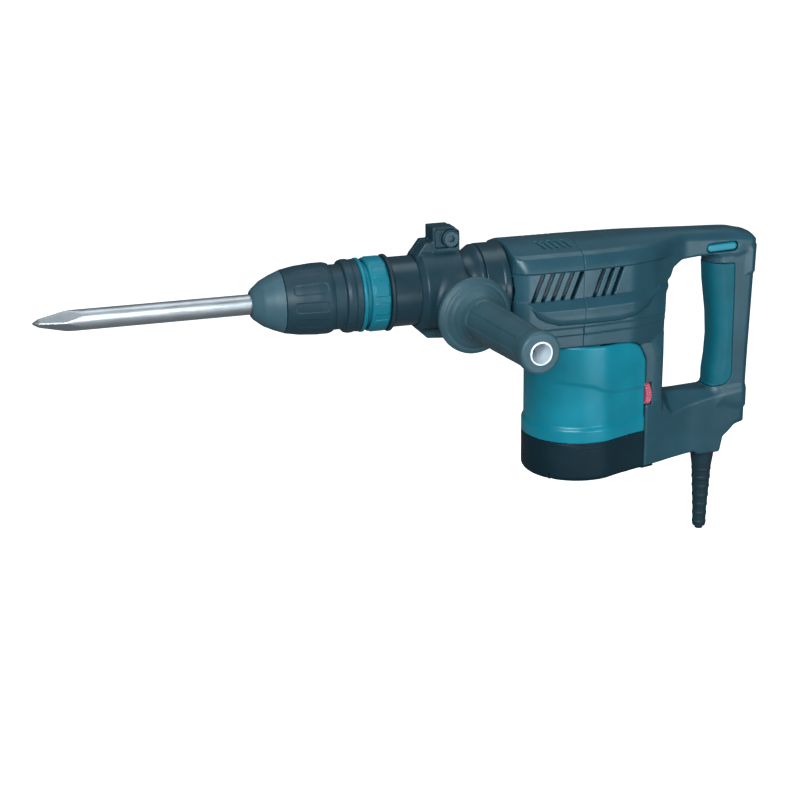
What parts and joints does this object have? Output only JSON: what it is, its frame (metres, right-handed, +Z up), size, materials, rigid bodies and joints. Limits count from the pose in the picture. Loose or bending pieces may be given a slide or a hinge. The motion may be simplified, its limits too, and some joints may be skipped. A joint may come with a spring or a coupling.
{
  "type": "electric jackhammer",
  "caption": "Two-handed demolition hammer with an upright motor, a rear D-handle, a clamp-on side handle, a keyless chuck and a bull point chisel.",
  "frame": {"origin": "in the middle of the flat underside of the motor's base cover, on which the tool stands", "axes": "+X along the hammer axis from the nose to the rear D-handle, +Z up away from the motor, -Y along the side handle"},
  "size_m": [0.666, 0.2332, 0.3253],
  "materials": {
    "bit_steel": "brushed",
    "steel": "ground",
    "black_steel": "black oxide",
    "black_rubber": "matte",
    "grip_rubber": "matte",
    "dark_plastic": "fine texture",
    "base_plastic": "fine texture",
    "teal_plastic": "satin",
    "teal_rubber": "soft touch",
    "red_plastic": "moulded",
    "barrel_paint": "satin paint",
    "cast_aluminium": "as cast",
    "gear_steel": "oiled",
    "copper_winding": "enamelled",
    "laminate": "laminated",
    "brass": "pressed",
    "carbon": "sintered",
    "white_plastic": "moulded",
    "circuit_green": "coated",
    "tube_metal": "plated"
  },
  "bodies": {
    "housing": {"barrel_housing": "barrel_paint", "stop_ring": "black_rubber", "cylinder_liner": "steel", "crank_housing": "cast_aluminium", "crank_cap": "cast_aluminium", "gear_plate": "cast_aluminium", "housing_screws": "black_steel", "crank_bearing_upper": "steel", "crank_bearing_lower": "steel", "case_front": "dark_plastic", "handle_left": "dark_plastic", "handle_right": "dark_plastic", "handle_screws": "black_steel", "grip_pad": "teal_rubber", "switch_block": "carbon", "speed_board": "circuit_green", "cord_guard": "black_rubber", "power_cord": "black_rubber", "cord_clamp": "carbon", "motor_housing": "teal_plastic", "base_cover": "base_plastic", "base_screws": "black_steel", "field_stator": "laminate", "motor_bearing_upper": "steel", "motor_bearing_lower": "steel", "brush_holders": "brass", "carbon_brushes": "carbon"},
    "holder": {"tool_holder": "gear_steel", "nose_cap": "black_rubber", "rear_sleeve": "dark_plastic", "index_collar": "teal_plastic", "cushion_ring": "black_rubber", "cover_spring": "steel"},
    "chisel": {"bit": "bit_steel"},
    "cover": {"release_cover": "dark_plastic", "roller_ring": "steel"},
    "roller_top": {"lock_roller_top": "steel"},
    "roller_bottom": {"lock_roller_bottom": "steel"},
    "ring": {"change_ring": "teal_plastic"},
    "anvil": {"impact_bolt": "steel"},
    "ram": {"striker": "steel", "striker_ring": "black_rubber"},
    "piston_set": {"piston": "cast_aluminium", "piston_ring": "black_rubber", "piston_pin": "steel"},
    "rod": {"con_rod": "gear_steel", "crank_pin": "steel"},
    "crank": {"crank_shaft": "gear_steel", "crank_gear": "gear_steel"},
    "armature": {"armature_shaft": "gear_steel", "armature_core": "laminate", "commutator": "copper_winding", "cooling_fan": "white_plastic"},
    "switch": {"switch_bar": "teal_plastic"},
    "dial": {"speed_dial": "red_plastic"},
    "side_handle": {"handle_clamp": "dark_plastic", "clamp_bolt": "black_steel", "clamp_nut": "steel", "side_grip": "grip_rubber", "grip_tube": "tube_metal"}
  },
  "joints": [
    {"name": "tool_rotation", "type": "hinge", "parent": "housing", "child": "holder", "pos_m": [-0.205, 0, 0.185], "axis": [1, 0, 0], "continuous": true},
    {"name": "bit_slide", "type": "slide", "parent": "holder", "child": "chisel", "axis": [-1, 0, 0], "range_m": [0, 0.02]},
    {"name": "cover_slide", "type": "slide", "parent": "holder", "child": "cover", "axis": [1, 0, 0], "range_m": [0, 0.008], "stiffness_N_per_m": 600, "deforming": ["cover_spring"]},
    {"name": "roller_top_slide", "type": "slide", "parent": "holder", "child": "roller_top", "axis": [0, 0, 1], "range_m": [0, 0.0026]},
    {"name": "roller_bottom_slide", "type": "slide", "parent": "holder", "child": "roller_bottom", "axis": [0, 0, -1], "range_m": [0, 0.0026]},
    {"name": "change_ring_slide", "type": "slide", "parent": "holder", "child": "ring", "axis": [-1, 0, 0], "range_m": [0, 0.003]},
    {"name": "anvil_slide", "type": "slide", "parent": "housing", "child": "anvil", "axis": [1, 0, 0], "range_m": [0, 0.006]},
    {"name": "striker_slide", "type": "slide", "parent": "housing", "child": "ram", "axis": [1, 0, 0], "range_m": [0, 0.03]},
    {"name": "piston_slide", "type": "slide", "parent": "housing", "child": "piston_set", "axis": [1, 0, 0], "range_m": [0, 0.03]},
    {"name": "rod_swing", "type": "hinge", "parent": "piston_set", "child": "rod", "pos_m": [-0.0596, 0, 0.185], "axis": [0, 0, 1], "range_deg": [-12, 12]},
    {"name": "crank_spin", "type": "hinge", "parent": "housing", "child": "crank", "pos_m": [0.0274, 0, 0.155], "axis": [0, 0, 1], "continuous": true},
    {"name": "armature_spin", "type": "hinge", "parent": "housing", "child": "armature", "pos_m": [-0.009, 0, 0.085], "axis": [0, 0, 1], "continuous": true},
    {"name": "switch_slide", "type": "slide", "parent": "housing", "child": "switch", "axis": [0, 1, 0], "range_m": [0, 0.006]},
    {"name": "dial_turn", "type": "hinge", "parent": "housing", "child": "dial", "pos_m": [0.058, -0.0235, 0.0725], "axis": [1, 0, 0], "range_deg": [0, 270]},
    {"name": "side_handle_swing", "type": "hinge", "parent": "housing", "child": "side_handle", "pos_m": [-0.135, 0, 0.185], "axis": [1, 0, 0], "continuous": true}
  ],
  "couplings": [
    {"joint": "roller_top_slide", "follows": "cover_slide", "ratio": 0.325},
    {"joint": "roller_bottom_slide", "follows": "cover_slide", "ratio": 0.325},
    {"joint": "armature_spin", "follows": "crank_spin", "ratio": -5.5}
  ]
}
